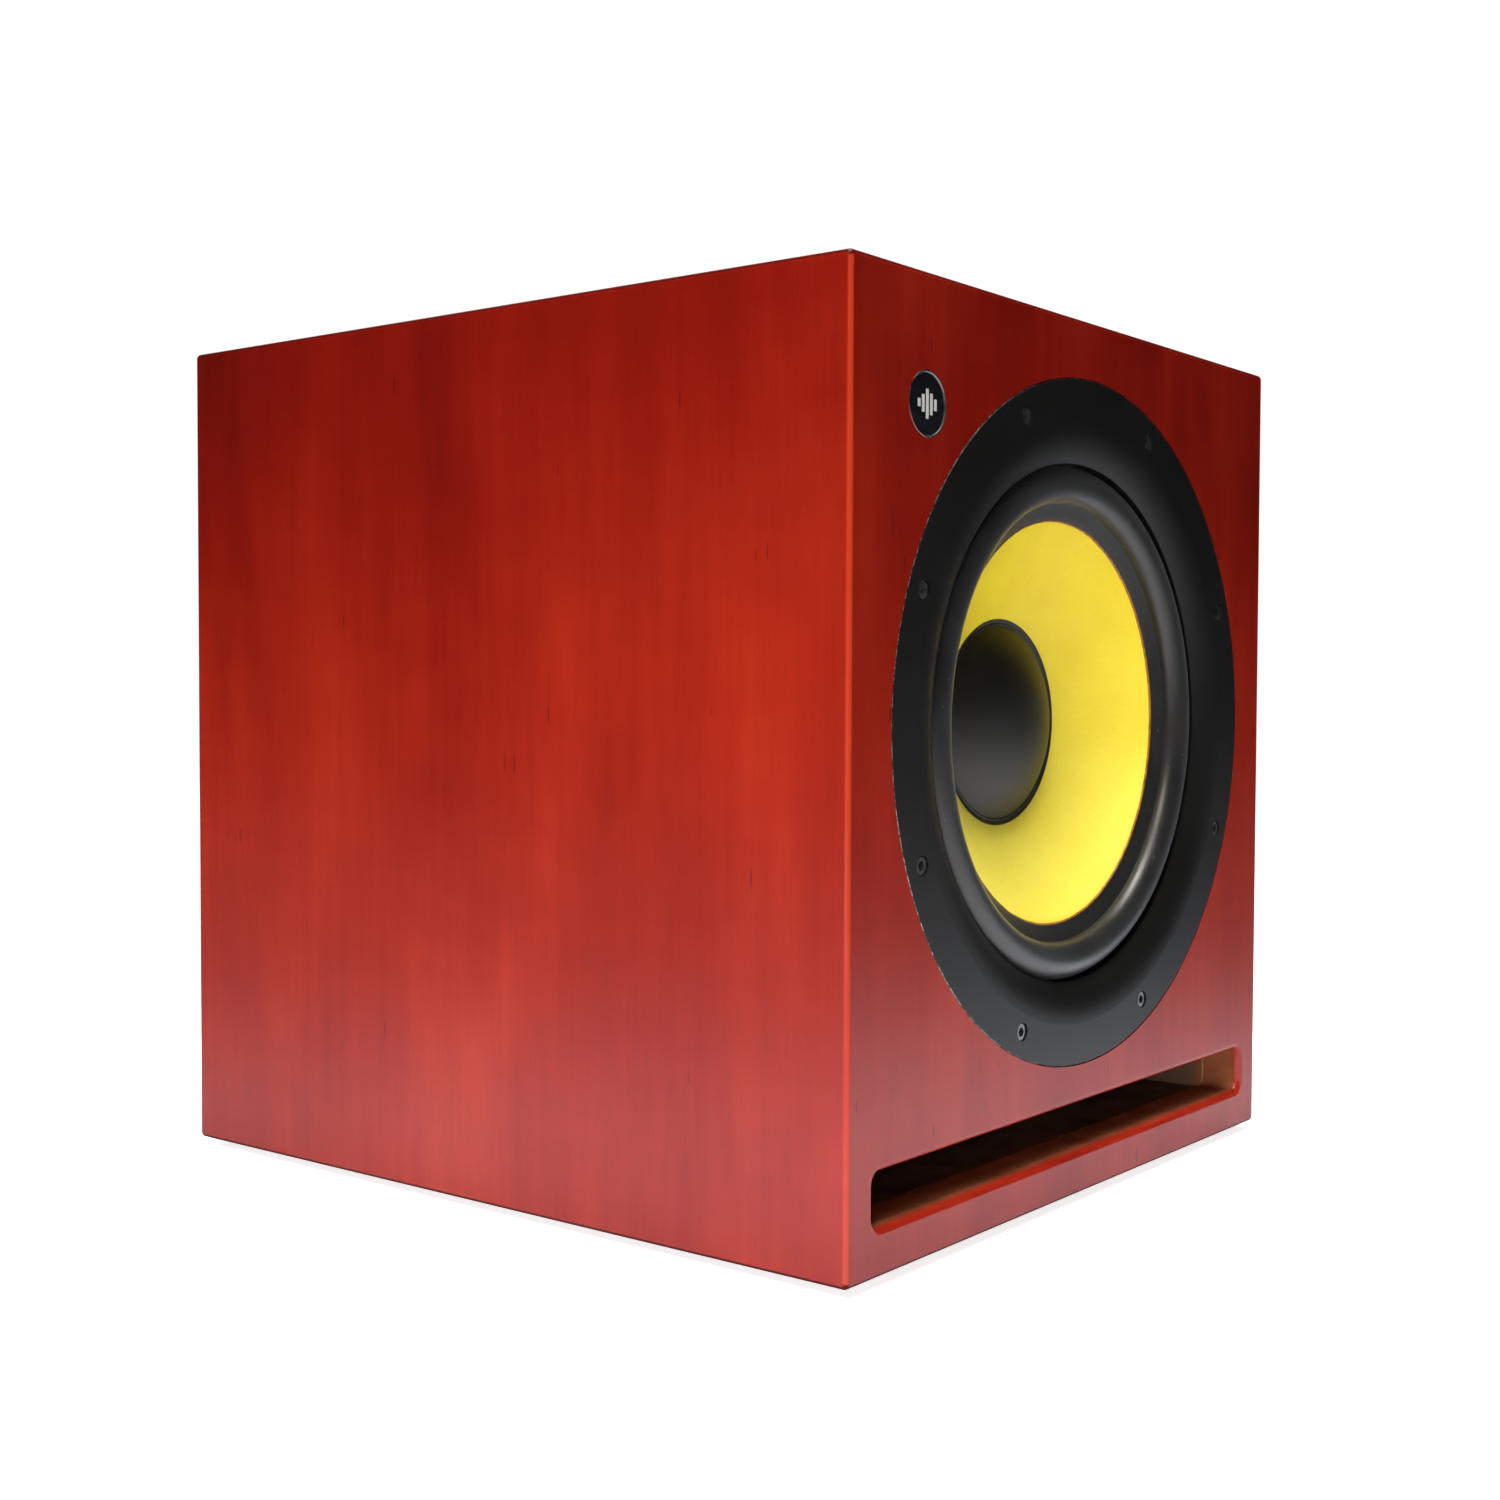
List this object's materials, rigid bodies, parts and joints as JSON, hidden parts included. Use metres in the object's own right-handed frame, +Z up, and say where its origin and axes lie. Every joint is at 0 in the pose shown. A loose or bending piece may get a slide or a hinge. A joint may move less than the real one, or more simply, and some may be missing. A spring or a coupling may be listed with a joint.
{
  "type": "active studio subwoofer",
  "caption": "Box-shaped active subwoofer with a veneered wooden cabinet, a front driver with a sprung cone, a slot port along the floor and a plate amplifier with controls at the back.",
  "frame": {"origin": "under the middle of the whole object, on the plane that the rubber feet stand on", "axes": "+Z up; -Y towards the listener, out of the front baffle; +Y towards the amplifier at the back; +X to the right as seen from the front"},
  "size_m": [0.37, 0.44, 0.404],
  "materials": {
    "cherry_veneer": "satin lacquered, cherry-red stained veneer",
    "bare_board": "unfinished fibreboard",
    "satin_black_metal": "satin black paint",
    "textured_black_metal": "fine-textured black powder coat",
    "black_steel": "black oxide",
    "zinc_steel": "zinc plated",
    "surround_rubber": "smooth satin",
    "foot_rubber": "matt",
    "gasket_foam": "closed-cell foam",
    "damping_wool": "felted polyester wool",
    "yellow_cone": "satin yellow composite",
    "cap_black": "matt black",
    "spider_cloth": "resin-treated cloth",
    "kapton": "amber polyimide film",
    "copper_wire": "enamelled copper winding",
    "braid": "tinned braid",
    "ferrite": "dark grey sintered ferrite",
    "badge_gloss": "gloss black",
    "badge_metal": "polished rim and bars",
    "anodised_black": "black anodised",
    "terminal_board": "phenolic board",
    "circuit_board": "green solder mask",
    "capacitor_sleeve": "dark blue sleeve",
    "transformer_wrap": "yellow polyester tape over windings",
    "black_plastic": "moulded, fine matt",
    "knob_plastic": "soft-touch black",
    "lamp_lens": "green lens",
    "cable_sheath": "PVC insulated wire",
    "nickel": "nickel plated"
  },
  "bodies": {
    "cabinet": {"amp_board": "circuit_board", "amp_enclosure": "zinc_steel", "amp_gasket": "gasket_foam", "amp_plate": "textured_black_metal", "badge_disc": "badge_gloss", "badge_emblem": "badge_metal", "badge_rim": "badge_metal", "board_standoffs": "nickel", "bottom_panel": "cherry_veneer", "cable_gland": "foot_rubber", "connector_screws": "black_steel", "driver_frame": "textured_black_metal", "driver_gasket": "gasket_foam", "driver_screws": "black_steel", "feet_screws": "zinc_steel", "front_baffle": "cherry_veneer", "heatsink": "anodised_black", "inlet_pins": "nickel", "left_side_panel": "cherry_veneer", "magnet": "ferrite", "magnet_boot": "foot_rubber", "mains_inlet": "black_plastic", "phase_switch_housing": "zinc_steel", "phono_sockets": "nickel", "plate_screws": "black_steel", "pole_yoke": "zinc_steel", "port_riser": "bare_board", "port_shelf": "bare_board", "potentiometers": "zinc_steel", "power_switch_housing": "black_plastic", "rear_panel": "cherry_veneer", "reservoir_capacitors": "capacitor_sleeve", "right_side_panel": "cherry_veneer", "rubber_feet": "foot_rubber", "side_damping_pads": "damping_wool", "speaker_cable": "cable_sheath", "status_lamp": "lamp_lens", "tee_nuts": "zinc_steel", "terminal_strip": "terminal_board", "top_damping_pad": "damping_wool", "top_panel": "cherry_veneer", "top_plate": "zinc_steel", "toroidal_transformer": "transformer_wrap", "transformer_bolt": "zinc_steel", "trim_ring": "satin_black_metal", "window_brace": "bare_board", "xlr_sockets": "black_plastic"},
    "cone_assembly": {"cone": "yellow_cone", "dust_cap": "cap_black", "voice_coil_former": "kapton", "voice_coil": "copper_wire", "surround": "surround_rubber", "spider": "spider_cloth", "tinsel_leads": "braid"},
    "level_control": {"level_knob": "knob_plastic", "level_spindle": "nickel"},
    "crossover_control": {"crossover_knob": "knob_plastic", "crossover_spindle": "nickel"},
    "rocker": {"power_rocker": "black_plastic"},
    "slider": {"phase_slider": "black_plastic"}
  },
  "joints": [
    {"name": "cone_travel", "type": "slide", "parent": "cabinet", "child": "cone_assembly", "axis": [0, -1, 0], "range_m": [-0.008, 0.008], "stiffness_N_per_m": 2500, "deforming": ["surround", "spider", "tinsel_leads"]},
    {"name": "level_turn", "type": "hinge", "parent": "cabinet", "child": "level_control", "pos_m": [-0.03, 0.198, 0.352], "axis": [0, 1, 0], "range_deg": [-150, 150]},
    {"name": "crossover_turn", "type": "hinge", "parent": "cabinet", "child": "crossover_control", "pos_m": [-0.084, 0.198, 0.352], "axis": [0, 1, 0], "range_deg": [-150, 150]},
    {"name": "power_rock", "type": "hinge", "parent": "cabinet", "child": "rocker", "pos_m": [-0.024, 0.1945, 0.216], "axis": [1, 0, 0], "range_deg": [-18, 0]},
    {"name": "phase_slide", "type": "slide", "parent": "cabinet", "child": "slider", "axis": [1, 0, 0], "range_m": [0, 0.004]}
  ]
}
